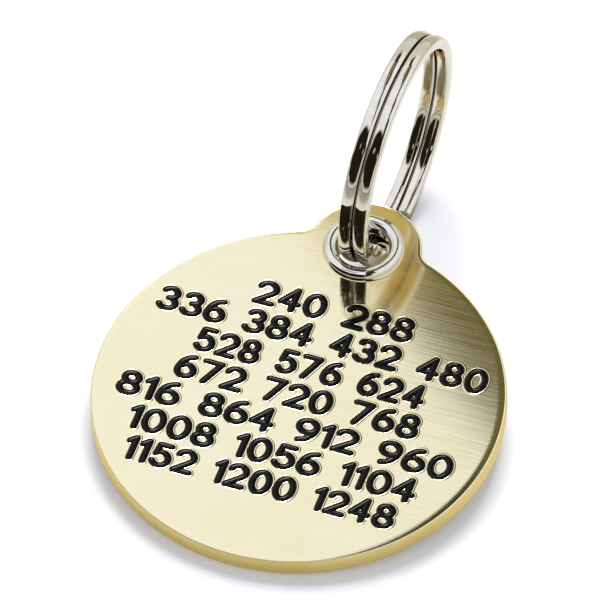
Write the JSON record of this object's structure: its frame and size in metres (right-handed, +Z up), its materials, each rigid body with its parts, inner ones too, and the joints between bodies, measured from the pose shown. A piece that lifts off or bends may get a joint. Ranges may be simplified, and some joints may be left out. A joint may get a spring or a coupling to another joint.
{
  "type": "pet id tag",
  "caption": "Round brass pet tag with an ear, a rolled eyelet in the ear and a swinging two-turn split ring that threads onto a collar.",
  "frame": {"origin": "on the table that the tag lies on, under the middle of the part's box", "axes": "+Z up off the table; +Y from the disc towards the ear and the ring; +X to the right of someone who reads the face. The plate leans 5.38 degrees from the table, its ear end up, because the ring's underside holds it up"},
  "size_m": [0.033, 0.0481, 0.0194],
  "materials": {
    "plate_brass": "polished with fine brush lines along X, tumbled edges",
    "enamel_black": "black enamel, glossy, domed between the edges of each engraved stroke",
    "eyelet_nickel": "bright nickel plate",
    "washer_nickel": "bright nickel plate",
    "ring_nickel": "nickel-plated spring steel, mirror bright"
  },
  "bodies": {
    "tag": {"tag_plate": "plate_brass", "eyelet": "eyelet_nickel", "eyelet_washer": "washer_nickel"},
    "ring": {"split_ring": "ring_nickel"}
  },
  "joints": [
    {"name": "ring_swing", "type": "hinge", "parent": "tag", "child": "ring", "pos_m": [-0.00015, 0.00742, 0.00377], "axis": [0.9987, -0.041, -0.0302], "range_deg": [-70, 1]}
  ]
}
